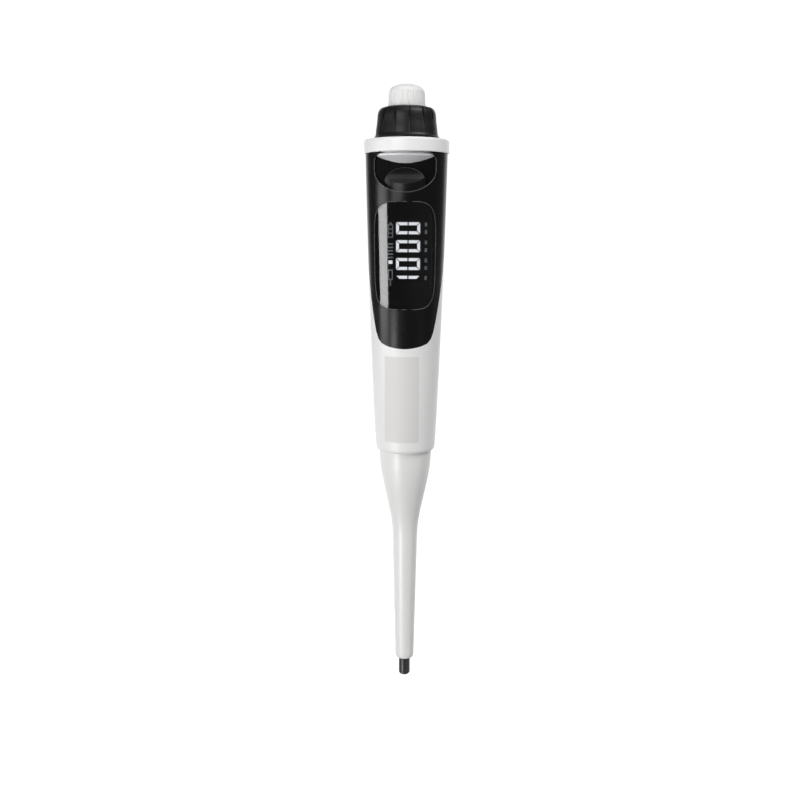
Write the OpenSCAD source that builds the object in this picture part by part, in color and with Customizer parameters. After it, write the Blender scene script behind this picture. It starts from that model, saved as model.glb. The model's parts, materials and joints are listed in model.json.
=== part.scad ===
// Adjustable air-displacement micropipette, single channel, 100 to 1000 microlitres.
// The axis of the piston is the Z axis. Z = 0 is the lower edge of the tip cone's
// cylindrical seat, the display faces -Y and the finger hook is at +Y.

/* [Housing] */
// Outer radius of the housing at its lower edge
body_r0 = 12.15; // [12.0:0.05:12.5]
// Growth of the outer radius from the lower edge to the cap
body_gain = 5.9; // [5.6:0.1:6.2]
// How much that growth eases off toward the cap
body_ease = 1.85; // [1.6:0.05:2.0]
// Wall thickness of the housing and the front panel
wall = 1.4; // [1.2:0.1:1.5]
// Height of the lower edge of the housing
body_lo = 99.9; // [99.5:0.1:100.3]
// Height of the joint between the housing and the cap
body_hi = 219.5; // [219:0.1:220]

/* [Cap and volume ring] */
// Outer radius of the white cap
cap_r = 16.75; // [16.5:0.05:17]
// Thickness of the cap
cap_t = 4.6; // [4.2:0.1:4.8]
// Radius of the volume ring at its foot
ring_foot_r = 12.95; // [12.6:0.05:13.2]
// Number of grip grooves round the volume ring
ring_grooves = 13; // [9:1:18]
// Bore of the volume ring that the push button slides in
ring_bore_r = 7.75; // [7.6:0.05:7.85]

/* [Push button] */
// Radius of the push button's skirt
button_r = 7.4; // [7.0:0.05:7.45]
// Height of the top of the push button with the pipette at rest
button_top = 245.2; // [244:0.1:246]

/* [Thumb recess] */
// Half the width of the recess
recess_w = 11.8; // [11.4:0.1:12.4]
// Distance of the recess's flat back wall from the axis
recess_y = 9.8; // [9.7:0.05:9.9]
// Height of the middle of the recess's round lower end
recess_z = 212; // [211.5:0.1:212.5]
// Depth of the round lower end below that height
recess_drop = 8.3; // [8:0.1:8.5]

/* [Display] */
// Half the width of the display window
window_w = 11.8; // [11.4:0.1:12.4]
// Height of the middle of the display window
window_z = 179.45; // [179:0.05:180]
// Half the height of the display window
window_h = 20.6; // [20:0.1:21]
// Squareness of the window's outline, 2 is an ellipse
window_n = 5; // [4:0.5:6]
// Width of one digit, across the body
digit_w = 9.2; // [8.8:0.1:9.8]
// Height of one digit, along the body
digit_h = 4.6; // [4.3:0.1:5]
// Distance from one digit to the next
digit_pitch = 6.9; // [6.6:0.1:7.2]
// Sideways offset of the row of digits
digit_x = 1.15; // [1:0.05:1.4]

/* [Piston and tip cone] */
// Radius of the piston
piston_r = 6.45; // [6.4:0.01:6.5]
// Radius of the piston's bore in the tip cone holder
bore_r = 6.6; // [6.55:0.01:6.65]
// Radius of the cylindrical seat that a tip is pushed on
seat_r = 2.4; // [2.3:0.05:2.5]
// Length of that seat
seat_len = 6; // [5:0.5:6.5]

/* [Ejector] */
// Wall thickness of the ejector sleeve
sleeve_wall = 1.1; // [1.0:0.05:1.15]
// Half the width of the ejector button
eject_w = 8.0; // [7.5:0.1:8.1]
// Thickness of the ejector rods
strip_t = 1.1; // [0.9:0.1:1.1]

/* [Volume drive] */
// Teeth on the gear on the volume spindle
gear_n = 30; // [30:1:30]
// Teeth on the encoder pinion
pinion_n = 18; // [18:1:18]
// Gear module
gear_m = 0.4; // [0.4:0.1:0.4]

/* [Hidden] */
$fn = 96;
white = [0.94, 0.94, 0.93];
black = [0.07, 0.07, 0.08];
steel = [0.72, 0.73, 0.75];
gear_d = gear_m * (gear_n + pinion_n) / 2; // centre distance of the gears
screw_at = [0, 180, 50, 130];              // directions of the cap's bosses
boss_r = 11.6;                             // their distance from the axis

// ---- shapes used by several parts ----

// outer radius of the handle at height z
function br(z) = body_r0 + body_gain * ((z - 100) / 120)
    - body_ease * pow((z - 100) / 120, 2);

// points up the side of the handle, from z0 to z1, o outside its surface
function side(o, z0, z1, n) =
    [for (i = [0:n]) let (z = z0 + (z1 - z0) * i / n) [br(z) + o, z]];

// outer radius of the ejector sleeve at height z
function smooth(t) = t <= 0 ? 0 : t >= 1 ? 1 : t * t * (3 - 2 * t);
function sr(z) = 4.0 + 0.0225 * (z - 10) + 4.73 * smooth((z - 62.5) / 35.1);

// point i of n on a rounded-square outline of half sizes a and b
function sq(v, n) = sign(v) * pow(abs(v), 2 / n);
function squircle(a, b, n, count) =
    [for (i = [0:count - 1]) let (t = 360 * (i + 0.5) / count)
        [a * sq(cos(t), n), b * sq(sin(t), n)]];

// a solid of the handle's own outer form, o outside its surface
module handle_form(o = 0, z0 = body_lo, z1 = body_hi, n = 12) {
    rotate_extrude() polygon(concat([[0, z0]], side(o, z0, z1, n), [[0, z1]]));
}

// a wall that follows the handle, from a to b outside its surface
module handle_wall(a, b, z0, z1, n = 8) {
    rotate_extrude() polygon(concat(side(b, z0, z1, n),
        [for (i = [n:-1:0]) side(a, z0, z1, n)[i]]));
}

// the shape of the front panel seen from the side: everything in front of the seam
module seam_prism() {
    rotate([90, 0, 90]) linear_extrude(60, center = true) polygon([
        [-40, 143.2], [-14, 143.2], [-13.4, 143.6], [-12.3, 144.2],
        [-10.8, 145.2], [-9.6, 146.8], [-8.6, 149.6], [-7.6, 154.1],
        [-6.6, 158.9], [-5.5, 163.4], [-4.2, 168.4], [-2.6, 174.2],
        [-1, 180], [0.5, 186], [2, 193], [3.2, 201], [4, 210],
        [4.4, 219.6], [4.4, 225], [-40, 225]]);
}

// prism of a front view outline, from y = -30 back to y = -back
module front_prism(back) {
    translate([0, -back, 0]) rotate([90, 0, 0])
        linear_extrude(30 - back) children();
}

// outline of the thumb recess, o outside its edge
module recess_outline(o = 0) {
    top = [[9.6, 240], [9.6, body_hi], [10.2, 218.6], [10.9, 217.6], [11.4, 216.6],
        [recess_w, 215.6], [recess_w, recess_z]];
    polygon(concat([for (p = top) [-p[0] - o, p[1]]],
        [for (t = [170:-10:10]) [(recess_w + o) * cos(t),
            recess_z - (recess_drop + o) * sin(t)]],
        [for (i = [6:-1:0]) [top[i][0] + o, top[i][1]]]));
}

// outline of the display window, o outside its edge
module window_outline(o = 0) {
    polygon([for (p = squircle(window_w + o, window_h + o, window_n, 44))
        [p[0] * (1 + 0.02 * p[1] / window_h), window_z + p[1]]]);
}

// helical wire: mean radius r, wire radius w, from z0, length len, turns n
module coil_spring(r, w, z0, len, n) {
    lead = (len - 2 * w) / n;
    translate([0, 0, z0]) intersection() {
        translate([0, 0, w - lead / 2 - 0.001])
            linear_extrude(len - 2 * w + lead, twist = -360 * (n + 1),
                slices = 18 * (n + 1), $fn = 0)
            polygon(concat(
                [for (a = [-80:40:80]) let (q = r + w * sin(a),
                    t = 360 * w * cos(a) / lead) [q * cos(t), q * sin(t)]],
                [for (a = [80:-40:-80]) let (q = r + w * sin(a),
                    t = -360 * w * cos(a) / lead) [q * cos(t), q * sin(t)]]));
        cylinder(r = r + 2 * w, h = len);
    }
}

// involute spur gear outline
function inv(a) = tan(a) * 180 / PI - a;
function flank(n, r) = let (rb = gear_m * n / 2 * cos(20))
    90 / n * 0.93 + inv(20) - inv(acos(min(1, rb / max(r, rb))));
module gear_outline(n) {
    rp = gear_m * n / 2;
    ro = rp + 0.32;
    rr = rp - 0.48;
    rs = [rr, max(rr + 0.05, rp * cos(20)), rp * cos(20) + (ro - rp * cos(20)) * 0.35,
        rp * cos(20) + (ro - rp * cos(20)) * 0.7, ro];
    polygon([for (k = [0:n - 1]) each concat(
        [for (r = rs) let (t = 360 * k / n - flank(n, r)) [r * cos(t), r * sin(t)]],
        [for (i = [4:-1:0]) let (r = rs[i], t = 360 * k / n + flank(n, r))
            [r * cos(t), r * sin(t)]])]);
}

// a round bar along +Y, from y0 to y1 at height z
module bar_y(r, x, y0, y1, z) {
    translate([x, y0, z]) rotate([-90, 0, 0]) cylinder(r = r, h = y1 - y0);
}

// ---- outer shells ----

module housing() {
    color(white) difference() {
        union() {
            // tapered wall with a rounded lower edge
            rotate_extrude() polygon(concat([[11.0, body_lo]],
                [for (a = [-90:18:0]) [br(101.9) - 1.1 + 1.1 * cos(a),
                    body_lo + 2 + 2 * sin(a)]],
                [for (i = [1:12]) side(0, 101.9, body_hi, 12)[i]],
                [for (i = [10:-1:0]) side(-wall, 112, body_hi, 10)[i]],
                [[11.0, 104]]));
            // web that steadies the lower end of the frame
            translate([0, 0, 119]) difference() {
                cylinder(r = 12.1, h = 2);
                translate([0, 0, -1]) cylinder(r = 9.2, h = 4);
            }
        }
        seam_prism();
        // slots in the web for the ejector rods
        translate([-11.3, -2.3, 118]) cube([22.6, 4.6, 4]);
        // opening for the battery door
        translate([-10.3, 2, 165]) cube([20.6, 30, 26]);
        // seat for the calibration plug
        bar_y(2.6, 0, 13.2, 20, 150);
        bar_y(2.0, 0, 8, 14, 150);
        // shallow seat for the label
        label_form(0.12);
    }
}

module label_form(o) {
    intersection() {
        handle_wall(-0.12, 0.06 + o, 104.9, 140, 6);
        translate([-7.8, -30, 104.9]) cube([13.6, 30, 35.1]);
    }
}

module label_plate() {
    color([0.87, 0.86, 0.85]) label_form(0);
}

module front_panel() {
    color(black) difference() {
        union() {
            intersection() {
                handle_wall(-wall, 0, 140, body_hi, 9);
                seam_prism();
            }
            // walls of the thumb recess, open in the middle for the button
            intersection() {
                handle_form(-0.3, 195, body_hi, 3);
                difference() {
                    front_prism(recess_y - 0.65) recess_outline(0.9);
                    translate([-8.3, -30, 195]) cube([16.6, 30 - 9.15 + 0.01, 11.6]);
                    translate([-20, -12, 217.5]) cube([40, 12 - recess_y, 5]);
                    translate([-20, -recess_y, 217.5]) cube([40, 5, 5]);
                }
            }
        }
        front_prism(recess_y) recess_outline(0);
        front_prism(4) window_outline();
    }
}

module recess_trim() {
    // pale sloping roof of the recess, with a shadow gap under the cap
    color([0.84, 0.84, 0.85]) intersection() {
        rotate_extrude() polygon([[9, 214.3], [recess_y, 214.7], [15.3, 217.4],
            [15.4, 217.9], [15.2, 218.2], [13.9, 218.3], [13.9, body_hi],
            [11.1, body_hi], [11.1, 218.9], [9, 218.9]]);
        front_prism(recess_y) recess_outline(0);
    }
}

module display_window() {
    color([0.03, 0.03, 0.04]) intersection() {
        handle_wall(-1.35, -0.1, 156, 203, 5);
        front_prism(4) window_outline();
    }
}

module top_cap() {
    color(white) {
        difference() {
            union() {
                rotate_extrude() polygon(concat(
                    [[10.2, body_hi], [16.28, body_hi], [16.28, body_hi - 0.65],
                     [cap_r - 0.25, body_hi - 0.65], [cap_r, body_hi - 0.4]],
                    [for (a = [0:15:90]) [cap_r - 0.9 + 0.9 * cos(a),
                        body_hi + cap_t - 0.9 + 0.9 * sin(a)]],
                    [[10.2, body_hi + cap_t]]));
                // bosses that the frame hangs from
                for (a = screw_at) rotate(a) translate([boss_r, 0, 211.5])
                    cylinder(r = 1.6, h = body_hi - 211.4);
                // spigot inside the back of the housing
                intersection() {
                    translate([0, 0, 216.5]) difference() {
                        cylinder(r = 14.6, h = body_hi - 216.4);
                        translate([0, 0, -1]) cylinder(r = 13.5, h = 6);
                    }
                    translate([-20, 3, 210]) cube([40, 20, 12]);
                }
            }
            for (a = screw_at) rotate(a) translate([boss_r, 0, 211])
                cylinder(r = 0.9, h = 5);
            // room for the flange of the bush
            translate([0, 0, 218.7]) cylinder(r = 11.1, h = body_hi - 218.7);
        }
    }
}

module cap_screws() {
    color(steel) for (a = screw_at) rotate(a) translate([boss_r, 0, 0])
        difference() {
            union() {
                translate([0, 0, 207.4]) cylinder(r = 1.8, h = 1.6);
                translate([0, 0, 209]) cylinder(r = 0.9, h = 7);
            }
            translate([0, 0, 207]) cylinder(r = 0.7, h = 1.2, $fn = 6);
        }
}

module ring_bush() {
    color([0.8, 0.8, 0.76]) rotate_extrude() polygon([[8.95, 219.0], [11.0, 219.0],
        [11.0, 219.5], [10.2, 219.5], [10.2, 224.0], [8.95, 224.0]]);
}

module finger_hook() {
    color(white) difference() {
        rotate([90, 0, 90]) linear_extrude(11, center = true) polygon(concat(
            [[10, 215.5], [17, 215.4], [22, 214.6]],
            [for (t = [75:-15:0]) [25.5 + 11.5 * cos(t), 203.5 + 10.8 * sin(t)]],
            [[37.2, 200.5], [36.9, 198.6], [36.2, 197.6], [35.2, 197.4],
             [34.3, 198.0], [33.9, 199.4], [33.6, 202.0]],
            [for (t = [15:25:90]) [30.4 + 3.0 * cos(t), 204.0 + 3.0 * sin(t)]],
            [[30, 207], [19.5, 207]],
            [for (t = [90:30:180]) [19.5 + 2.2 * cos(t), 204.8 + 2.2 * sin(t)]],
            [[17.2, 198.5], [16.8, 195], [15.8, 192.4], [10, 192]]));
        handle_form(0, 101.9, body_hi, 12);
    }
}

module battery_door() {
    color(white) difference() {
        intersection() {
            handle_wall(-wall, 0, 165, 191, 3);
            translate([-10.3, 2, 165]) cube([20.6, 30, 26]);
        }
        bar_y(1.0, 0, 5, 20, 168);
        bar_y(1.9, 0, 14.1, 20, 168);
        // thumb grooves
        for (z = [182:2:188]) translate([-4, 14.95 + (z - 182) * 0.018, z])
            rotate([0, 90, 0]) cylinder(r = 0.5, h = 8);
    }
}

module door_screw() {
    color(steel) difference() {
        union() {
            bar_y(1.8, 0, 14.1, 14.75, 168);
            bar_y(0.9, 0, 9.5, 14.2, 168);
        }
        translate([-0.25, 14.4, 165]) cube([0.5, 2, 6]);
    }
}

module calibration_plug() {
    color([0.6, 0.6, 0.6]) difference() {
        bar_y(2.6, 0, 13.2, 14.15, 150);
        translate([-0.4, 13.7, 146]) cube([0.8, 2, 8]);
    }
}

// ---- display and electronics ----

module lcd_glass() {
    color([0.12, 0.13, 0.14]) translate([-9.2, -9.2, 162]) cube([18.4, 1.3, 33.2]);
}

// one slanted-end bar of a digit, at its top left
module seg_side() {
    polygon([[-digit_w / 2 + 0.2, digit_h / 2], [-0.25, digit_h / 2],
        [-0.25, digit_h / 2 - 1.15], [-digit_w / 2 + 1.35, digit_h / 2 - 1.15]]);
}
module seg_end() {
    polygon([[-digit_w / 2, digit_h / 2 - 0.2], [-digit_w / 2, -digit_h / 2 + 0.2],
        [-digit_w / 2 + 1.1, -digit_h / 2 + 1.3], [-digit_w / 2 + 1.1, digit_h / 2 - 1.3]]);
}
module on_glass(x, z, t = 0.08) {
    translate([x, -9.2, z]) rotate([90, 0, 0]) linear_extrude(t) children();
}

module lcd_digits() {
    color([0.95, 0.95, 0.95]) {
        for (i = [0:2]) on_glass(digit_x, 190.1 - i * digit_pitch) {
            for (s = [0, 1], u = [0, 1]) mirror([s, 0]) mirror([0, u]) seg_side();
            for (s = [0, 1]) mirror([s, 0]) seg_end();
        }
        // the figure one shows only its two right-hand bars
        on_glass(digit_x, 190.1 - 3 * digit_pitch)
            for (s = [0, 1]) mirror([s, 0]) seg_side();
        // underline of the unit mark
        on_glass(-5.6, 177.0) square([1.5, 1.3], center = true);
    }
}

module lcd_icons() {
    color([0.55, 0.55, 0.55]) {
        // battery mark
        on_glass(-5.6, 189.6) {
            translate([-0.5, 2.0]) square([1.0, 0.7]);
            difference() {
                translate([-1.0, -3.2]) square([2.0, 5.2]);
                for (i = [0:2]) translate([-0.6, -2.8 + i * 1.6]) square([1.2, 1.2]);
            }
        }
        // bar scale
        for (i = [0:4]) on_glass(-5.6, 178.8 + i * 1.3) square([2.0, 0.6], center = true);
        // small pipette mark
        on_glass(-5.6, 170.4) {
            difference() {
                translate([-0.9, -0.4]) square([1.8, 4.2]);
                translate([-0.5, 0.2]) square([1.0, 3.0]);
            }
            translate([-0.25, -2.6]) square([0.5, 2.2]);
        }
        // row of small bars under the digits
        for (i = [0:2], d = [-1.48, 1.48])
            on_glass(7.95, 190.1 - i * digit_pitch + d) square([0.9, 1.5], center = true);
        on_glass(7.95, 190.1 - 3 * digit_pitch + 1.48) square([0.9, 1.5], center = true);
    }
}

module contact_strips() {
    color([0.2, 0.2, 0.2]) for (z = [163, 192.6])
        translate([-8, -7.9, z]) cube([16, 1.0, 2]);
}

module circuit_board() {
    color([0.05, 0.3, 0.15]) difference() {
        translate([-9.2, -6.9, 156.5]) cube([18.4, 0.8, 38.7]);
        for (x = [-7.3, 7.3]) bar_y(0.7, x, -8, -5, 159.3);
    }
}

module board_components() {
    color([0.1, 0.1, 0.1]) {
        translate([-3.5, -6.1, 166]) cube([7, 0.65, 7]);
        for (i = [-2:2]) translate([i * 1.6 - 0.4, -6.1, 178]) cube([0.8, 0.5, 1.6]);
        translate([-2.2, -6.1, 183]) cube([4.4, 0.6, 2.2]);
    }
}

module board_screws() {
    color(steel) for (x = [-7.3, 7.3]) {
        bar_y(1.25, x, -7.7, -6.9, 159.3);
        bar_y(0.6, x, -7.0, -3.2, 159.3);
    }
}

module battery_holder() {
    color([0.25, 0.25, 0.27]) difference() {
        union() {
            translate([-8.6, 5.45, 166]) cube([17.2, 0.65, 24]);
            for (x = [-8.2, 6.4]) translate([x, 2.5, 172]) cube([1.8, 3.2, 12]);
            // rim round the cell
            intersection() {
                bar_y(10.8, 0, 6.0, 7.6, 178);
                translate([-12, 0, 166]) cube([24, 20, 24]);
            }
            bar_y(1.9, 0, 5.6, 12.8, 168);
        }
        bar_y(10.05, 0, 6.1, 9.4, 178);
        bar_y(0.9, 0, 9.5, 14, 168);
        // gap in the rim for the contact
        translate([-1.8, 6.1, 187]) cube([3.6, 3, 3]);
    }
}

module battery_cell() {
    color(steel) rotate([-90, 0, 0]) translate([0, -178, 0]) rotate_extrude()
        polygon([[0, 6.1], [8.9, 6.1], [8.9, 6.5], [10, 6.5], [10, 9.1],
            [9.8, 9.3], [0, 9.3]]);
}

module battery_contact() {
    color([0.8, 0.65, 0.3]) {
        translate([-1.6, 9.3, 171.8]) cube([3.2, 0.3, 16.6]);
        translate([-1.6, 6.1, 188.1]) cube([3.2, 3.3, 0.3]);
    }
}

// ---- inner frame and its bearings ----

module inner_frame() {
    color([0.35, 0.36, 0.38]) difference() {
        union() {
            // lower tube with the thread land for the union nut
            rotate_extrude() polygon([[8.3, 112.4], [8.75, 112.4], [8.75, 117],
                [9.1, 117], [9.1, 138.2], [2.2, 138.2], [2.2, 135.8], [8.3, 135.8]]);
            // two rails
            for (s = [-1, 1]) translate([s > 0 ? 5.8 : -8.8, -2.5, 138])
                cube([3, 5, 71.5]);
            // top plate
            intersection() {
                translate([0, 0, 209]) cylinder(r = 13.2, h = 2.5);
                translate([-20, -8.9, 200]) cube([40, 40, 20]);
            }
            // posts for the circuit board
            for (x = [-7.3, 7.3], z = [159.3, 193.4]) bar_y(1.3, x, -6.1, 0, z);
            // bracket for the encoder
            for (x = [-8.8, 5.8]) translate([x, 2, 193.5]) cube([3, 8.5, 2.5]);
            translate([-8.8, 6.2, 193.5]) cube([17.6, 4.3, 2.5]);
            translate([-4.8, 6.2, 193.5]) cube([9.6, 6.2, 2.5]);
        }
        // hole for the spindle, key grooves, screw holes
        translate([0, 0, 208]) cylinder(r = 4.7, h = 5);
        for (s = [-1, 1]) translate([s > 0 ? 5 : -7.1, -0.9, 168]) cube([2.1, 1.8, 34]);
        for (a = screw_at) rotate(a) translate([boss_r, 0, 208]) cylinder(r = 1.0, h = 5);
        for (x = [-7.3, 7.3]) bar_y(0.6, x, -7, -3.2, 159.3);
        translate([0, 0, 190]) cylinder(r = 5.5, h = 8);
        // room for the gear between the rails
        translate([0, 0, 205.2]) cylinder(r = 6.9, h = 3.8);
    }
}

module encoder_body() {
    color([0.15, 0.15, 0.17]) translate([0, gear_d, 196]) difference() {
        union() {
            cylinder(r = 3.9, h = 7.5);
            translate([0, 0, 7.4]) cylinder(r = 1.8, h = 1.2);
        }
        translate([0, 0, 3]) cylinder(r = 0.82, h = 7);
    }
}

// ---- tip cone holder and piston seal ----

module nozzle() {
    color(black) rotate_extrude() polygon([
        [1.1, -0.6], [seat_r - 0.45, -0.6], [seat_r, 0], [seat_r, seat_len],
        [2.5, seat_len + 1.2], [2.62, 14], [3.1, 40], [3.55, 58], [4.0, 66],
        [5.0, 75], [6.5, 82.5], [7.9, 89], [8.25, 91], [8.25, 93], [9.0, 93],
        [9.0, 94.5], [8.05, 94.5], [8.05, 107.5],
        [8.25, 107.8], [8.25, 110], [8.7, 110], [8.7, 112.4],
        [7.4, 112.4], [7.4, 106], [bore_r, 106], [bore_r, 87.5], [2.0, 79],
        [1.1, 76]]);
}

module union_nut() {
    color([0.55, 0.56, 0.58]) difference() {
        rotate_extrude() polygon([[8.3, 108], [9.1, 108], [9.3, 108.2], [9.3, 117],
            [8.8, 117], [8.8, 110], [8.3, 110]]);
        for (a = [15:30:345]) rotate(a) translate([9.55, 0, 109])
            cylinder(r = 0.45, h = 9);
    }
}

module piston_seal() {
    color([0.1, 0.1, 0.1]) rotate_extrude() polygon([[6.52, 106.6], [6.9, 106],
        [7.4, 106], [7.4, 109], [6.52, 109]]);
}

module seal_retainer() {
    color([0.85, 0.85, 0.8]) rotate_extrude() polygon([[6.7, 109], [7.4, 109],
        [7.4, 112.4], [8.2, 112.4], [8.2, 115.3], [6.7, 115.3]]);
}

// ---- volume ring, spindle and stop ----

module adjust_ring() {
    color(black) difference() {
        rotate_extrude() polygon(concat(
            [[ring_bore_r, 214], [8.9, 214], [8.9, 218], [8.5, 218], [8.5, 218.8],
             [8.9, 218.8], [8.9, 224.6], [ring_foot_r, 224.6], [ring_foot_r, 224.9],
             [12.45, 225.4], [12.2, 226.1], [11.95, 228.4], [11.65, 230.6]],
            [for (a = [5:17:90]) [9.3 + 2.15 * cos(a), 233 + 3.2 * sin(a)]],
            [[8.4, 236.5], [ring_bore_r, 236.1]]));
        for (i = [0:ring_grooves - 1]) rotate(-82 + 360 * i / ring_grooves)
            translate([12.75, 0, 226]) rotate([0, -13, 0]) cylinder(r = 0.55, h = 13);
    }
}

module spindle() {
    // thread ridges are shown as plain rings; the stop nut clears them
    color(steel) rotate_extrude() polygon(concat(
        [[1.6, 163.5], [3.0, 163.5], [3.3, 164], [3.3, 183.5]],
        [for (i = [0:21], p = [0, 1]) [p == 0 ? 3.05 : 3.3, 184 + i * 0.7651 + p * 0.3826]],
        [[3.3, 205.5], [4.0, 205.5], [4.0, 208.5], [4.6, 208.5], [4.6, 212],
         [8.9, 212], [8.9, 214], [1.6, 214]]));
}

module drive_gear() {
    color([0.86, 0.84, 0.78]) translate([0, 0, 205.5]) difference() {
        rotate(6) linear_extrude(3) gear_outline(gear_n);
        translate([0, 0, -1]) cylinder(r = 4.03, h = 5);
    }
}

module circlip() {
    color(steel) difference() {
        translate([0, 0, 218]) cylinder(r = 9.5, h = 0.8);
        translate([0, 0, 217]) cylinder(r = 8.5, h = 3);
        translate([-2, 8, 217]) cube([4, 4, 3]);
    }
}

module encoder_pinion() {
    color([0.86, 0.84, 0.78]) translate([0, gear_d, 0]) {
        translate([0, 0, 205.5]) linear_extrude(3) gear_outline(pinion_n);
        translate([0, 0, 199.5]) cylinder(r = 0.75, h = 9.3);
    }
}

module stop_nut() {
    color([0.75, 0.6, 0.3]) {
        rotate_extrude() polygon([[1.7, 158], [5.2, 158], [5.2, 200], [3.38, 200],
            [3.38, 192], [3.7, 191.5], [3.7, 162], [1.7, 162]]);
        for (s = [-1, 1]) translate([s > 0 ? 4.9 : -6.8, -0.8, 180]) cube([1.9, 1.6, 18]);
    }
}

// ---- push button, plunger and piston ----

module push_button() {
    color(white) difference() {
        rotate_extrude() polygon(concat([[0, 231], [button_r - 0.3, 231], [button_r, 231.3],
            [button_r, 235]],
            [for (t = [0:11:77]) [4.0 + (button_r - 4.35) * cos(t), 241.4 + (button_top - 242.05) * sin(t)]],
            [for (r = [3.6, 2.4, 1.2, 0]) [r, button_top - r * r / 30.8]]));
        translate([0, 0, 230]) cylinder(r = 1.5, h = 6);
        // shallow flutes
        for (i = [0:19]) rotate(-100.5 + 18 * i) translate([button_r + 0.27, 0, 234])
            rotate([0, -3.1, 0]) cylinder(r = 0.42, h = 10, $fn = 32);
    }
}

module plunger_rod() {
    color(steel) rotate_extrude() polygon([[0, 135.5], [1.5, 135.5], [1.5, 154.5],
        [2.4, 154.5], [2.4, 154.9], [1.5, 154.9], [1.5, 236], [0, 236]]);
}

module plunger_collar() {
    color([0.3, 0.3, 0.32]) rotate_extrude() polygon([[1.5, 154.9], [4.6, 154.9],
        [5.0, 155.3], [5.0, 157.9], [1.5, 157.9]]);
}

module piston_head() {
    color([0.3, 0.3, 0.32]) rotate_extrude() polygon([[0, 131.5], [8.0, 131.5],
        [8.0, 134.5], [7.2, 135.5], [0, 135.5]]);
}

module piston() {
    color(steel) rotate_extrude() polygon([[0, 104], [piston_r - 0.5, 104],
        [piston_r, 104.5], [piston_r, 131.5], [0, 131.5]]);
}

module return_spring() {
    color(steel) coil_spring(3.6, 0.4, 138.2, 16.7, 7);
}

module blowout_spring() {
    color(steel) coil_spring(7.35, 0.4, 115.3, 16.2, 6);
}

// ---- ejector ----

module ejector_button() {
    color(black) difference() {
        intersection() {
            // front view: a tongue with a round top
            translate([0, -10, 0]) rotate([90, 0, 0]) linear_extrude(8) polygon(concat(
                [[-eject_w, 203.6]],
                [for (t = [180:-12:0]) [eject_w * cos(t), 207.2 + 5.9 * sin(t)]],
                [[eject_w, 203.6]]));
            // side view: a thumb rest that slopes forward and down
            rotate([90, 0, 90]) linear_extrude(30, center = true) polygon([
                [-9, 203], [-9, 214], [-10.35, 213.3], [-10.6, 212.4], [-10.9, 211.4],
                [-11.25, 210.5], [-11.7, 209.6], [-12.25, 208.7], [-12.9, 207.9],
                [-13.6, 207.2], [-15, 206.2], [-15, 203]]);
            translate([0, 0, 200]) cylinder(r = 14.0, h = 20);
        }
        translate([0, 0, 203]) cylinder(r = 10.8, h = 3.2);
    }
}

module ejector_yoke() {
    color([0.75, 0.75, 0.76]) {
        // ring that pushes the sleeve
        rotate_extrude() polygon([[9.5, 110], [10.6, 110], [10.6, 113], [9.5, 113]]);
        // rods
        for (s = [-1, 1]) translate([s > 0 ? 9.5 : -9.5 - strip_t, -2, 112])
            cube([strip_t, 4, 94.2]);
        // collar that carries the button
        intersection() {
            translate([0, 0, 203.6]) difference() {
                cylinder(r = 10.8, h = 2.6);
                translate([0, 0, -1]) cylinder(r = 9.5, h = 5);
            }
            translate([-15, -15, 200]) cube([30, 18, 10]);
        }
    }
}

module ejector_sleeve() {
    n = 24;
    color(white) rotate_extrude() polygon(concat(
        [[2.75, 7.2], [3.1, 7.2]],
        [for (a = [-60:30:0]) [sr(9) - 0.7 + 0.7 * cos(a), 9 + 1.8 * sin(a)]],
        [for (i = [1:n]) let (z = 9 + 91 * i / n) [sr(z), z]],
        [[sr(100), 110], [sr(100) - sleeve_wall, 110],
         [sr(100) - sleeve_wall, 107.7], [8.5, 107.7], [8.5, 106.2]],
        [for (i = [n:-1:0]) let (z = 15 + 85 * i / n)
            [sr(z) - sleeve_wall, i == n ? 106.2 : z]],
        [[2.75, 12]]));
}

module ejector_spring() {
    color(steel) coil_spring(8.85, 0.35, 94.5, 11.7, 4);
}

housing();
front_panel();
display_window();
recess_trim();
top_cap();
cap_screws();
finger_hook();
battery_door();
door_screw();
label_plate();
calibration_plug();
inner_frame();
lcd_glass();
lcd_digits();
lcd_icons();
contact_strips();
circuit_board();
board_components();
board_screws();
battery_holder();
battery_cell();
battery_contact();
encoder_body();
ring_bush();
nozzle();
union_nut();
piston_seal();
seal_retainer();
adjust_ring();
spindle();
drive_gear();
circlip();
encoder_pinion();
stop_nut();
push_button();
plunger_rod();
plunger_collar();
piston_head();
piston();
return_spring();
blowout_spring();
ejector_button();
ejector_yoke();
ejector_sleeve();
ejector_spring();
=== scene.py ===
import bpy, bmesh, json, math
from mathutils import Vector, Matrix


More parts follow.
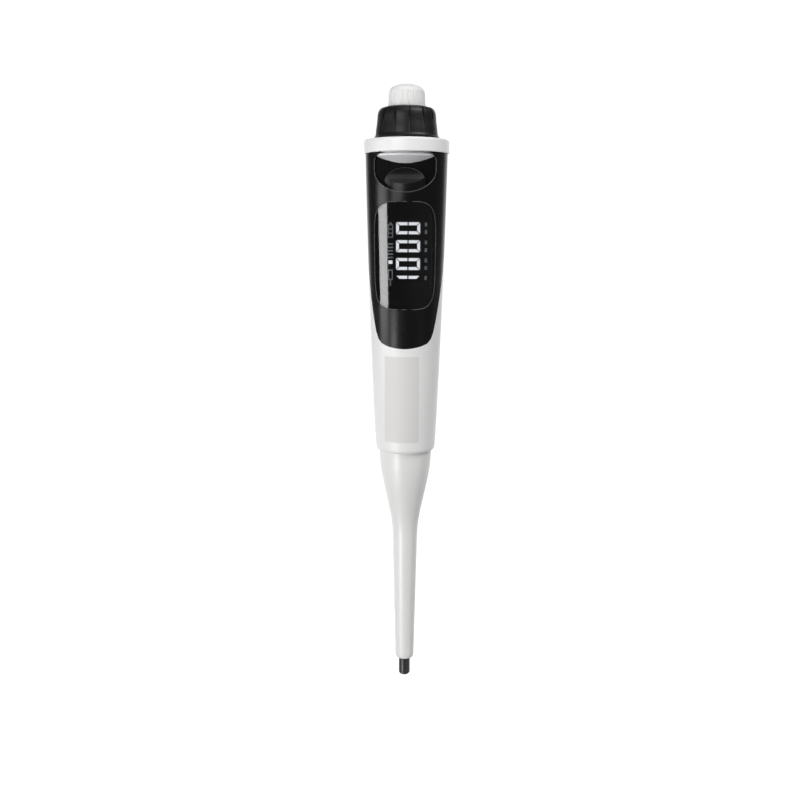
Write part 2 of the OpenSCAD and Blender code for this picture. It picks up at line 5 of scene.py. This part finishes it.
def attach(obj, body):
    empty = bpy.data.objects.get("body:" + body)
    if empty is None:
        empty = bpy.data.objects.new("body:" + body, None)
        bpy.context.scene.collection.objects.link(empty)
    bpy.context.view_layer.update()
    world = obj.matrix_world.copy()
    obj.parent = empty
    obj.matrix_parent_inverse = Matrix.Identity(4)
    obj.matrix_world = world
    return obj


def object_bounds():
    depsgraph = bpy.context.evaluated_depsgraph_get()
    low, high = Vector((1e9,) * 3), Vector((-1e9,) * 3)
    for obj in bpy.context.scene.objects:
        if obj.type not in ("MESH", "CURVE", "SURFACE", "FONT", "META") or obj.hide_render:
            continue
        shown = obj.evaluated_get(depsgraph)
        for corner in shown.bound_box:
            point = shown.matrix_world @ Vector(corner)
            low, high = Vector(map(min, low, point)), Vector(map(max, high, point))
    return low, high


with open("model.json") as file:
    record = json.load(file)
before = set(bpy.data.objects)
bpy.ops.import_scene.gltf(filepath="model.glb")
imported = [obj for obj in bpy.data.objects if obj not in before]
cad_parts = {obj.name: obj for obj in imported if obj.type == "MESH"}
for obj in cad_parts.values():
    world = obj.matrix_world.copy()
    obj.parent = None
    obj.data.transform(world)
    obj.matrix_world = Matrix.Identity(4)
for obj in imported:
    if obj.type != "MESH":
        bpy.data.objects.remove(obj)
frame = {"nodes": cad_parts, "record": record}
start_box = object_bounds()
nodes = frame["nodes"]
scene = bpy.context.scene


# ------------------------------------------------------------------ camera
def make_camera():
    az, dist, height = math.radians(2.75), 0.378, 0.18967
    tilt, yaw, roll = math.radians(10.4), math.radians(0.345), math.radians(0.2)
    data = bpy.data.cameras.new("camera")
    data.sensor_width = 36.0
    data.lens = 36.0 * 930.0 / 800.0
    data.clip_start = 0.01
    data.clip_end = 50.0
    cam = bpy.data.objects.new("camera", data)
    scene.collection.objects.link(cam)
    h = az + yaw
    fwd = Vector((-math.sin(h) * math.cos(tilt), math.cos(h) * math.cos(tilt), -math.sin(tilt)))
    right = fwd.cross(Vector((0, 0, 1))).normalized()
    up = right.cross(fwd).normalized()
    r2 = right * math.cos(roll) + up * math.sin(roll)
    u2 = up * math.cos(roll) - right * math.sin(roll)
    m = Matrix((r2, u2, -fwd)).transposed().to_4x4()
    m.translation = Vector((dist * math.sin(az), -dist * math.cos(az), height))
    cam.matrix_world = m
    scene.camera = cam
    return cam


camera = make_camera()
scene.view_settings.view_transform = "Standard"


# ------------------------------------------------------------------ materials
class Mat:
    """A small helper that builds one procedural Principled material."""

    def __init__(self, name):
        self.m = bpy.data.materials.new(name)
        self.m.use_nodes = True
        self.t = self.m.node_tree
        self.b = next(n for n in self.t.nodes if n.type == "BSDF_PRINCIPLED")
        self.tc = self.t.nodes.new("ShaderNodeTexCoord")

    def set(self, **kw):
        for k, v in kw.items():
            self.b.inputs[k.replace("_", " ")].default_value = v
        return self

    def noise(self, scale, detail=3.0, rough=0.5, stretch=(1, 1, 1)):
        mp = self.t.nodes.new("ShaderNodeMapping")
        mp.inputs["Scale"].default_value = stretch
        self.t.links.new(self.tc.outputs["Object"], mp.inputs["Vector"])
        n = self.t.nodes.new("ShaderNodeTexNoise")
        n.inputs["Scale"].default_value = scale
        n.inputs["Detail"].default_value = detail
        n.inputs["Roughness"].default_value = rough
        self.t.links.new(mp.outputs["Vector"], n.inputs["Vector"])
        return n.outputs["Fac"]

    def remap(self, value, lo, hi, from_lo=0.35, from_hi=0.65):
        r = self.t.nodes.new("ShaderNodeMapRange")
        r.inputs["From Min"].default_value = from_lo
        r.inputs["From Max"].default_value = from_hi
        r.inputs["To Min"].default_value = lo
        r.inputs["To Max"].default_value = hi
        self.t.links.new(value, r.inputs["Value"])
        return r.outputs["Result"]

    def colour(self, value, a, b):
        mix = self.t.nodes.new("ShaderNodeMix")
        mix.data_type = "RGBA"
        mix.inputs["A"].default_value = (*a, 1)
        mix.inputs["B"].default_value = (*b, 1)
        self.t.links.new(value, mix.inputs["Factor"])
        self.t.links.new(mix.outputs["Result"], self.b.inputs["Base Color"])
        return self

    def rough(self, value):
        self.t.links.new(value, self.b.inputs["Roughness"])
        return self

    def bump(self, value, strength, distance):
        n = self.t.nodes.new("ShaderNodeBump")
        n.inputs["Strength"].default_value = strength
        n.inputs["Distance"].default_value = distance
        self.t.links.new(value, n.inputs["Height"])
        self.t.links.new(n.outputs["Normal"], self.b.inputs["Normal"])
        return self


def plastic(name, c, spread, r0, r1, grain=2600.0, bump=0.12, depth=0.00003, **kw):
    """Moulded plastic: fine spark-eroded grain, faint blotches of tone and of gloss."""
    m = Mat(name)
    dark = tuple(max(0.0, x - spread) for x in c)
    m.colour(m.remap(m.noise(38.0, 2.0), 0.0, 1.0), dark, c)
    m.rough(m.remap(m.noise(160.0, 4.0, 0.6), r0, r1))
    m.bump(m.noise(grain, 2.0), bump, depth)
    m.set(**kw)
    return m.m


def metal(name, c, r0, r1, stretch=(1, 1, 1)):
    m = Mat(name)
    dark = tuple(x * 0.86 for x in c)
    m.colour(m.remap(m.noise(60.0, 3.0), 0.0, 1.0), dark, c)
    m.rough(m.remap(m.noise(900.0, 4.0, 0.6, stretch), r0, r1))
    m.bump(m.noise(1500.0, 2.0, 0.5, stretch), 0.15, 0.00002)
    m.set(Metallic=1.0)
    return m.m


WHITE = (0.80, 0.80, 0.795)
mats = {
    "housing_white": plastic("housing_white_mat", WHITE, 0.012, 0.30, 0.38, IOR=1.5),
    "cap_white": plastic("cap_white_mat", (0.86, 0.86, 0.855), 0.01, 0.28, 0.36, IOR=1.5),
    "sleeve_white": plastic("sleeve_white_mat", (0.77, 0.77, 0.762), 0.012, 0.30, 0.36, IOR=1.58, bump=0.06),
    "button_white": plastic("button_white_mat", (0.80, 0.795, 0.79), 0.01, 0.48, 0.54, IOR=1.42),
    "ejector_black": plastic("ejector_black_mat", (0.005, 0.005, 0.0055), 0.001, 0.28, 0.31, grain=7000.0, bump=0.04, depth=0.00001, IOR=1.38),
    "ring_black": plastic("ring_black_mat", (0.009, 0.009, 0.0095), 0.002, 0.36, 0.42, grain=5000.0, bump=0.06, depth=0.00001, IOR=1.4),
    "cone_black": plastic("cone_black_mat", (0.014, 0.014, 0.015), 0.003, 0.30, 0.35, grain=6000.0, bump=0.04, depth=0.00001, IOR=1.7),
    "trim_silver": plastic("trim_silver_mat", (0.80, 0.80, 0.815), 0.015, 0.26, 0.34, IOR=1.5),
    "label_grey": plastic("label_grey_mat", (0.69, 0.68, 0.665), 0.006, 0.50, 0.58, grain=5000.0, bump=0.05, IOR=1.45),
    "plug_grey": plastic("plug_grey_mat", (0.35, 0.35, 0.36), 0.02, 0.35, 0.45),
    "frame_grey": plastic("frame_grey_mat", (0.10, 0.105, 0.115), 0.02, 0.45, 0.6),
    "holder_grey": plastic("holder_grey_mat", (0.06, 0.06, 0.065), 0.01, 0.45, 0.6),
    "collar_grey": plastic("collar_grey_mat", (0.08, 0.08, 0.09), 0.01, 0.4, 0.55),
    "encoder_black": plastic("encoder_black_mat", (0.02, 0.02, 0.022), 0.005, 0.4, 0.5),
    "component_black": plastic("component_black_mat", (0.015, 0.015, 0.015), 0.003, 0.45, 0.55),
    "bush_white": plastic("bush_white_mat", (0.72, 0.72, 0.66), 0.02, 0.35, 0.45),
    "gear_white": plastic("gear_white_mat", (0.78, 0.75, 0.66), 0.02, 0.35, 0.45),
    "nut_grey": plastic("nut_grey_mat", (0.25, 0.255, 0.27), 0.02, 0.4, 0.5),
    "strip_rubber": plastic("strip_rubber_mat", (0.03, 0.03, 0.03), 0.006, 0.6, 0.75),
    "seal_rubber": plastic("seal_rubber_mat", (0.012, 0.012, 0.012), 0.003, 0.5, 0.65),
    "board_green": plastic("board_green_mat", (0.01, 0.09, 0.035), 0.006, 0.25, 0.4),
    "screw_steel": metal("screw_steel_mat", (0.56, 0.56, 0.58), 0.25, 0.38),
    "cell_steel": metal("cell_steel_mat", (0.62, 0.62, 0.63), 0.22, 0.34),
    "rod_steel": metal("rod_steel_mat", (0.62, 0.62, 0.64), 0.12, 0.22, (1, 1, 0.05)),
    "piston_steel": metal("piston_steel_mat", (0.6, 0.6, 0.62), 0.10, 0.2, (1, 1, 0.05)),
    "spindle_steel": metal("spindle_steel_mat", (0.55, 0.55, 0.57), 0.22, 0.36, (1, 1, 0.2)),
    "spring_steel": metal("spring_steel_mat", (0.5, 0.5, 0.52), 0.22, 0.34),
    "yoke_steel": metal("yoke_steel_mat", (0.58, 0.58, 0.6), 0.28, 0.4, (1, 1, 0.05)),
    "stop_brass": metal("stop_brass_mat", (0.72, 0.52, 0.22), 0.2, 0.34),
    "contact_brass": metal("contact_brass_mat", (0.75, 0.58, 0.28), 0.2, 0.34),
}


def lens_material():
    m = Mat("window_tint_mat")
    m.colour(m.remap(m.noise(30.0, 2.0), 0.0, 1.0), (0.30, 0.305, 0.32), (0.34, 0.345, 0.36))
    m.rough(m.remap(m.noise(90.0, 3.0), 0.008, 0.022))
    m.set(IOR=1.46, Transmission_Weight=1.0, Coat_Weight=0.5, Coat_IOR=1.5, Coat_Roughness=0.01)
    return m.m


def lit_material(name, c, strength):
    m = Mat(name)
    m.colour(m.remap(m.noise(300.0, 2.0), 0.0, 1.0), tuple(x * 0.95 for x in c), c)
    m.rough(m.remap(m.noise(800.0, 2.0), 0.4, 0.5))
    m.b.inputs["Emission Color"].default_value = (*c, 1)
    m.b.inputs["Emission Strength"].default_value = strength
    return m.m


mats["window_tint"] = lens_material()


def panel_material():
    """Glossy black moulding whose thumb recess is left dull by the tool."""
    m = Mat("panel_black_mat")
    m.colour(m.remap(m.noise(38.0, 2.0), 0.0, 1.0), (0.0024, 0.0024, 0.0027), (0.0032, 0.0032, 0.0036))
    m.rough(m.remap(m.noise(160.0, 4.0, 0.6), 0.26, 0.28))
    m.bump(m.noise(7000.0, 2.0), 0.04, 0.00001)
    sep = m.t.nodes.new("ShaderNodeSeparateXYZ")
    m.t.links.new(m.tc.outputs["Object"], sep.inputs["Vector"])

    def step(op, sock, limit):
        n = m.t.nodes.new("ShaderNodeMath")
        n.operation = op
        m.t.links.new(sock, n.inputs[0])
        if isinstance(limit, float):
            n.inputs[1].default_value = limit
        else:
            m.t.links.new(limit, n.inputs[1])
        return n.outputs["Value"]

    width = m.t.nodes.new("ShaderNodeMath")
    width.operation = "ABSOLUTE"
    m.t.links.new(sep.outputs["X"], width.inputs[0])
    inside = step("LESS_THAN", width.outputs["Value"], 0.01195)
    inside = step("MULTIPLY", inside, step("GREATER_THAN", sep.outputs["Y"], -0.0105))
    inside = step("MULTIPLY", inside, step("GREATER_THAN", sep.outputs["Z"], 0.2032))
    m.t.links.new(m.remap(inside, 0.5, 0.12, 0.0, 1.0), m.b.inputs["Specular IOR Level"])
    m.set(IOR=1.4)
    return m.m


mats["panel_black"] = panel_material()
mats["lcd_lit"] = lit_material("lcd_lit_mat", (0.95, 0.96, 0.97), 2.4)
mats["lcd_dim"] = lit_material("lcd_dim_mat", (0.50, 0.51, 0.52), 0.34)
mats["lcd_glass"] = plastic("lcd_glass_mat", (0.02, 0.021, 0.023), 0.002, 0.12, 0.18, grain=900.0, bump=0.02)

slot_of = {s["node"]: s["material_slot"] for s in frame["record"]["subparts"]}
for name, obj in nodes.items():
    mat = mats.get(slot_of.get(name))
    if mat is None:
        continue
    obj.data.materials.clear()
    obj.data.materials.append(mat)
    obj.data.shade_smooth()
    obj.data.set_sharp_from_angle(angle=math.radians(28))

# ------------------------------------------------------------------ stage and light
def make_stage():
    me = bpy.data.meshes.new("floor")
    s, z = 14.0, float(start_box[0][2]) - 3.0
    me.from_pydata([(-s, -s, z), (s, -s, z), (s, s, z), (-s, s, z)], [], [(0, 1, 2, 3)])
    ob = bpy.data.objects.new("floor", me)
    scene.collection.objects.link(ob)
    m = Mat("floor_mat")
    m.colour(m.remap(m.noise(0.8, 2.0), 0.0, 1.0), (0.88, 0.88, 0.88), (0.9, 0.9, 0.9))
    m.set(Roughness=0.9)
    sep = m.t.nodes.new("ShaderNodeSeparateXYZ")
    m.t.links.new(m.tc.outputs["Object"], sep.inputs["Vector"])
    m.b.inputs["Emission Color"].default_value = (1, 1, 1, 1)
    m.t.links.new(m.remap(sep.outputs["Y"], 0.12, 1.02, 1.0, 4.0), m.b.inputs["Emission Strength"])
    ob.data.materials.append(m.m)
    return ob


def make_world():
    w = bpy.data.worlds.new("studio")
    scene.world = w
    w.use_nodes = True
    t = w.node_tree
    bg = next(n for n in t.nodes if n.type == "BACKGROUND")
    tc = t.nodes.new("ShaderNodeTexCoord")
    sep = t.nodes.new("ShaderNodeSeparateXYZ")
    t.links.new(tc.outputs["Generated"], sep.inputs["Vector"])

    def ramp(sock, lo, hi, a, b):
        r = t.nodes.new("ShaderNodeMapRange")
        r.interpolation_type = "SMOOTHSTEP"
        r.inputs["From Min"].default_value = lo
        r.inputs["From Max"].default_value = hi
        r.inputs["To Min"].default_value = a
        r.inputs["To Max"].default_value = b
        t.links.new(sock, r.inputs["Value"])
        return r.outputs["Result"]

    def math_node(op, a, b):
        n = t.nodes.new("ShaderNodeMath")
        n.operation = op
        for i, v in enumerate((a, b)):
            if isinstance(v, (int, float)):
                n.inputs[i].default_value = v
            else:
                t.links.new(v, n.inputs[i])
        return n.outputs["Value"]

    back = ramp(sep.outputs["Y"], 0.66, 0.86, 0.0, 1.04)
    side = ramp(sep.outputs["X"], -0.3, 0.9, 0.07, 0.11)
    level = math_node("MAXIMUM", side, back)
    t.links.new(level, bg.inputs["Strength"])
    bg.inputs["Color"].default_value = (1, 1, 1, 1)


def area(name, az, el, dist, w, h, radiance, target=(0, 0, 0.14)):
    """A rectangular softbox at azimuth az (0 = camera side, negative = left)."""
    d = bpy.data.lights.new(name, "AREA")
    d.shape = "RECTANGLE"
    d.size, d.size_y = w, h
    d.energy = radiance * math.pi * w * h
    ob = bpy.data.objects.new(name, d)
    scene.collection.objects.link(ob)
    a, e = math.radians(az), math.radians(el)
    p = Vector((math.sin(a) * math.cos(e), -math.cos(a) * math.cos(e), math.sin(e))) * dist + Vector(target)
    ob.location = p
    ob.rotation_euler = (Vector(target) - p).to_track_quat("-Z", "Y").to_euler()
    return ob


make_stage()
make_world()
area("softbox_left", -71.0, -3.5, 1.0, 0.54, 0.29, 5.8, target=(0, 0, 0.16))
area("softbox_low", -38.0, -21.0, 1.2, 0.40, 0.48, 8.2, target=(0, 0, 0.14))
area("softbox_high", -24.0, 11.0, 1.2, 0.62, 0.40, 5.2, target=(0, 0, 0.18))
area("softbox_top", 4.0, 66.0, 1.2, 0.50, 0.50, 2.4)
area("softbox_fill", 58.0, 50.0, 1.2, 0.80, 0.70, 5.4)
area("strip_right", 56.0, -26.0, 1.1, 0.14, 0.36, 2.2, target=(0, 0, 0.14))


def mask_frame():
    """Dark surround of the display, a thin frame just in front of its glass."""
    def br(z):
        u = (z - 100.0) / 120.0
        return 12.15 + 5.9 * u - 1.85 * u * u

    def half(z):
        return math.sqrt((br(z) - 1.45) ** 2 - 9.5 ** 2) - 0.05

    y0, y1 = -9.5, -9.33
    zs = [157.2, 162.4, 170.0, 178.0, 186.0, 194.9, 195.3]
    inner = 9.0
    bm = bmesh.new()
    rows = []
    for z in zs:
        h = half(z)
        rows.append([[bm.verts.new((x / 1000, y / 1000, z / 1000)) for x in (-h, -inner, inner, h)] for y in (y0, y1)])

    def quad(a, b, c, d):
        bm.faces.new((a, b, c, d))

    n = len(zs)
    for i in range(n - 1):
        for c in range(3):
            if c == 1 and 0 < i < n - 2:
                continue
            f, g = rows[i][0], rows[i + 1][0]
            quad(f[c], f[c + 1], g[c + 1], g[c])
            f, g = rows[i][1], rows[i + 1][1]
            quad(f[c + 1], f[c], g[c], g[c + 1])
        for c, flip in ((0, False), (3, True)):
            a, b = rows[i][0][c], rows[i][1][c]
            d, e = rows[i + 1][0][c], rows[i + 1][1][c]
            quad(*((b, a, d, e) if not flip else (a, b, e, d)))
        if 0 < i < n - 2:
            for c, flip in ((1, True), (2, False)):
                a, b = rows[i][0][c], rows[i][1][c]
                d, e = rows[i + 1][0][c], rows[i + 1][1][c]
                quad(*((b, a, d, e) if not flip else (a, b, e, d)))
    for i, flip in ((0, False), (n - 1, True)):
        for c in range(3):
            a, b = rows[i][0][c], rows[i][0][c + 1]
            d, e = rows[i][1][c], rows[i][1][c + 1]
            quad(*((a, d, e, b) if not flip else (d, a, b, e)))
    for i, flip in ((1, True), (n - 2, False)):
        a, b = rows[i][0][1], rows[i][0][2]
        d, e = rows[i][1][1], rows[i][1][2]
        quad(*((a, d, e, b) if not flip else (d, a, b, e)))
    bmesh.ops.recalc_face_normals(bm, faces=bm.faces)
    me = bpy.data.meshes.new("display_surround")
    bm.to_mesh(me)
    bm.free()
    ob = bpy.data.objects.new("display_surround", me)
    scene.collection.objects.link(ob)
    me.materials.append(plastic("display_surround_mat", (0.006, 0.006, 0.007), 0.001, 0.5, 0.6, IOR=1.4))
    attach(ob, "handle")
    return ob


mask_frame()


# ------------------------------------------------------------------ fine edge beads, tinted lighter than the panel as a painted highlight
def body_r(z):
    u = (z - 100.0) / 120.0
    return 12.15 + 5.9 * u - 1.85 * u * u


def on_body(x, z, lift):
    r = body_r(z)
    y = -math.sqrt(r * r - x * x)
    return Vector((x, y, z)), Vector((x / r, y / r, 0.0)), lift


def bead(name, pts, radius, closed, mat, body, sides=8):
    """A thin round bead swept along points given in millimetres."""
    bm = bmesh.new()
    n = len(pts)
    rings = []
    for i, (p, nrm, lift) in enumerate(pts):
        a = pts[(i - 1) % n][0] if closed or i > 0 else p
        b = pts[(i + 1) % n][0] if closed or i < n - 1 else p
        t = (b - a).normalized()
        u = (nrm - t * nrm.dot(t)).normalized()
        w = t.cross(u)
        c = p + nrm * lift
        rings.append([bm.verts.new((c + (u * math.cos(k) + w * math.sin(k)) * radius) / 1000.0)
                      for k in (2.0 * math.pi * q / sides for q in range(sides))])
    for i in range(n if closed else n - 1):
        a, b = rings[i], rings[(i + 1) % n]
        for q in range(sides):
            bm.faces.new((a[q], a[(q + 1) % sides], b[(q + 1) % sides], b[q]))
    if not closed:
        bm.faces.new(rings[0])
        bm.faces.new(rings[-1])
    bmesh.ops.recalc_face_normals(bm, faces=bm.faces)
    me = bpy.data.meshes.new(name)
    bm.to_mesh(me)
    bm.free()
    me.shade_smooth()
    ob = bpy.data.objects.new(name, me)
    scene.collection.objects.link(ob)
    me.materials.append(mat)
    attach(ob, body)
    return ob


def window_mask():
    """Dark band printed behind the top of the window, a thin curved sheet."""
    zs = [194.9, 196.8, 198.7, 200.6, 202.3]
    xs = [-10.6 + 21.2 * i / 24 for i in range(25)]
    bm = bmesh.new()
    grid = []
    for gap in (1.43, 1.49):
        grid.append([[bm.verts.new((x / 1000, -math.sqrt((body_r(z) - gap) ** 2 - x * x) / 1000, z / 1000))
                      for x in xs] for z in zs])
    a, b = grid
    nz, nx = len(zs), len(xs)
    for i in range(nz - 1):
        for k in range(nx - 1):
            bm.faces.new((a[i][k], a[i][k + 1], a[i + 1][k + 1], a[i + 1][k]))
            bm.faces.new((b[i][k + 1], b[i][k], b[i + 1][k], b[i + 1][k + 1]))
        for k in (0, nx - 1):
            bm.faces.new((a[i][k], a[i + 1][k], b[i + 1][k], b[i][k]))
    for k in range(nx - 1):
        for i in (0, nz - 1):
            bm.faces.new((a[i][k], b[i][k], b[i][k + 1], a[i][k + 1]))
    bmesh.ops.recalc_face_normals(bm, faces=bm.faces)
    me = bpy.data.meshes.new("window_mask")
    bm.to_mesh(me)
    bm.free()
    ob = bpy.data.objects.new("window_mask", me)
    scene.collection.objects.link(ob)
    me.materials.append(plastic("window_mask_mat", (0.004, 0.004, 0.0045), 0.001, 0.5, 0.6, IOR=1.35))
    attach(ob, "handle")
    return ob


window_mask()
# The bead greys are far lighter than the black panel. This is a painted highlight along the window, recess and
# thumb-pad edges, added to the real light that the thin raised beads catch.
bead_highlight_mat = plastic("edge_painted_highlight_mat", (0.10, 0.10, 0.105), 0.02, 0.30, 0.38, grain=5000.0, bump=0.05, IOR=1.45)
thumb_bead_highlight_mat = plastic("tongue_painted_highlight_mat", (0.05, 0.05, 0.053), 0.01, 0.30, 0.38, grain=5000.0, bump=0.05, IOR=1.45)


def signed_power(v, e):
    return math.copysign(abs(v) ** e, v)


def window_path(o):
    out = []
    for i in range(96):
        t = 2.0 * math.pi * i / 96
        dx = (11.8 + o) * signed_power(math.cos(t), 0.4)
        dz = (20.6 + o) * signed_power(math.sin(t), 0.4)
        out.append(on_body(dx * (1.0 + 0.02 * dz / 20.6), 179.45 + dz, -0.02))
    return out


def recess_path(o):
    w = 11.8 + o
    pts = [(-w + 0.4, 216.5), (-w, 215.6), (-w, 213.8)]
    pts += [(w * math.cos(t), 212.0 - (8.3 + o) * math.sin(t))
            for t in (math.radians(180 - 5 * k) for k in range(37))]
    pts += [(w, 213.8), (w, 215.6), (w - 0.4, 216.5)]
    return [on_body(x, z, -0.02) for x, z in pts]


def tongue_path():
    prof = [(213.3, 10.35), (212.4, 10.6), (211.4, 10.9), (210.5, 11.25), (209.6, 11.7), (208.7, 12.25), (207.9, 12.9)]
    out = []
    for k in range(31):
        t = math.radians(171 - 5.4 * k)
        x, z = 7.93 * math.cos(t), 207.2 + 5.84 * math.sin(t)
        y = prof[-1][1]
        for (z1, y1), (z0, y0) in zip(prof, prof[1:]):
            if z0 <= z <= z1:
                y = y0 + (y1 - y0) * (z - z0) / (z1 - z0)
        y = min(y, math.sqrt(13.95 ** 2 - x * x))
        out.append((Vector((x, -y, z)), Vector((x * 0.03, -0.9, 0.43)).normalized(), -0.03))
    return out


bead("window_edge_bead", window_path(0.09), 0.13, True, bead_highlight_mat, "handle")
bead("recess_edge_bead", recess_path(0.09), 0.13, False, bead_highlight_mat, "handle")
bead("thumb_edge_bead", tongue_path(), 0.09, False, thumb_bead_highlight_mat, "ejector")
